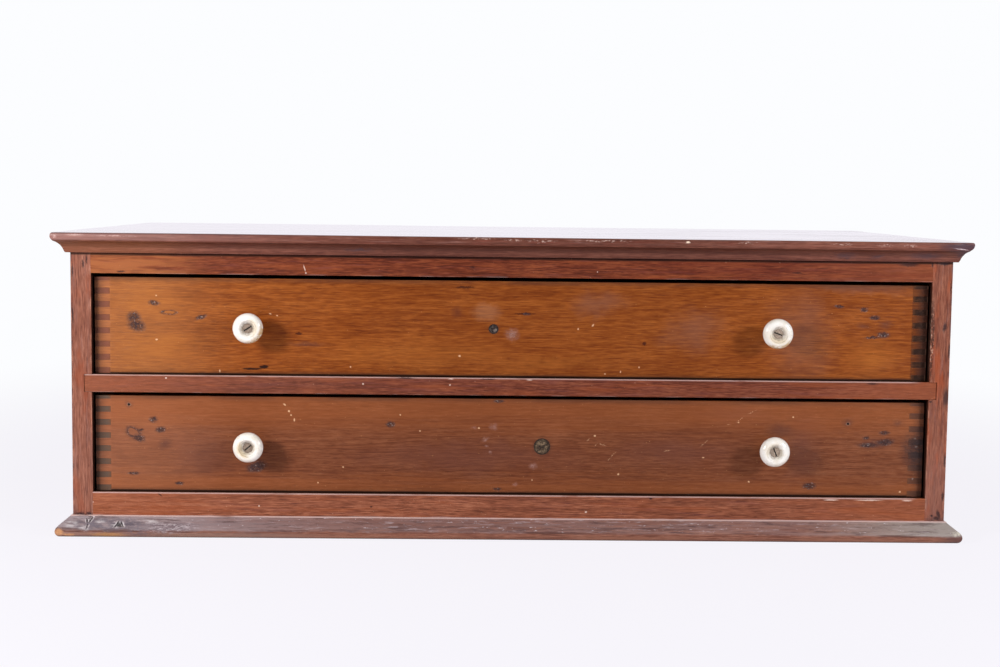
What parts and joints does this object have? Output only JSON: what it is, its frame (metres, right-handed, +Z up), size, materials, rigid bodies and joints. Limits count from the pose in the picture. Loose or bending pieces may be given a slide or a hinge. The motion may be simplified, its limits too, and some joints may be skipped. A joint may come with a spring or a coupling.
{
  "type": "tabletop spool cabinet",
  "caption": "Low wooden tabletop cabinet with moulded top and base boards, finger-jointed sliding drawers divided into spool channels, and round porcelain knobs.",
  "frame": {"origin": "under the middle of the closed cabinet's bounding box, on the plane it stands on", "axes": "+X to the viewer's right along the front, -Y out of the drawers' fronts, +Z up"},
  "size_m": [0.66, 0.3594, 0.2197],
  "materials": {
    "moulded_boards": "worn purple-brown stain under shellac, satin",
    "base_board": "worn stain, grey with dust on its slope",
    "case_sides": "red-brown mahogany stain, satin",
    "rails": "red-brown stain, satin",
    "back_panel": "bare aged softwood",
    "pale_wood": "bare aged softwood",
    "upper_front": "golden red-brown stain, satin",
    "lower_front": "dark red-brown stain, satin",
    "drawer_sides": "aged softwood, dark end grain",
    "thin_boards": "bare aged softwood",
    "plugs": "dark filler",
    "porcelain": "glazed white porcelain",
    "steel": "rusted steel"
  },
  "bodies": {
    "case": {"top_board": "moulded_boards", "base_board": "base_board", "left_side": "case_sides", "right_side": "case_sides", "top_rail": "rails", "middle_rail": "rails", "bottom_rail": "rails", "back_panel": "back_panel", "rail_dowels": "pale_wood", "base_screws": "steel", "rail_screws": "steel", "top_screws": "steel", "back_nails": "steel", "left_upper_runner": "pale_wood", "left_lower_runner": "pale_wood", "left_kicker": "pale_wood", "right_upper_runner": "pale_wood", "right_lower_runner": "pale_wood", "right_kicker": "pale_wood"},
    "upper_drawer": {"upper_drawer_front": "upper_front", "upper_drawer_back": "drawer_sides", "upper_drawer_left_side": "drawer_sides", "upper_drawer_right_side": "drawer_sides", "upper_drawer_bottom": "thin_boards", "upper_left_knob": "porcelain", "upper_right_knob": "porcelain", "upper_left_knob_screw": "steel", "upper_right_knob_screw": "steel", "upper_hole_plug": "plugs", "upper_divider_1": "thin_boards", "upper_divider_2": "thin_boards", "upper_divider_3": "thin_boards", "upper_divider_4": "thin_boards", "upper_divider_5": "thin_boards", "upper_divider_6": "thin_boards", "upper_divider_7": "thin_boards"},
    "lower_drawer": {"lower_drawer_front": "lower_front", "lower_drawer_back": "drawer_sides", "lower_drawer_left_side": "drawer_sides", "lower_drawer_right_side": "drawer_sides", "lower_drawer_bottom": "thin_boards", "lower_left_knob": "porcelain", "lower_right_knob": "porcelain", "lower_left_knob_screw": "steel", "lower_right_knob_screw": "steel", "lower_hole_plug": "plugs", "lower_divider_1": "thin_boards", "lower_divider_2": "thin_boards", "lower_divider_3": "thin_boards", "lower_divider_4": "thin_boards", "lower_divider_5": "thin_boards", "lower_divider_6": "thin_boards", "lower_divider_7": "thin_boards"}
  },
  "joints": [
    {"name": "upper_drawer_slide", "type": "slide", "parent": "case", "child": "upper_drawer", "axis": [0, -1, 0], "range_m": [0, 0.29]},
    {"name": "lower_drawer_slide", "type": "slide", "parent": "case", "child": "lower_drawer", "axis": [0, -1, 0], "range_m": [0, 0.29]}
  ]
}
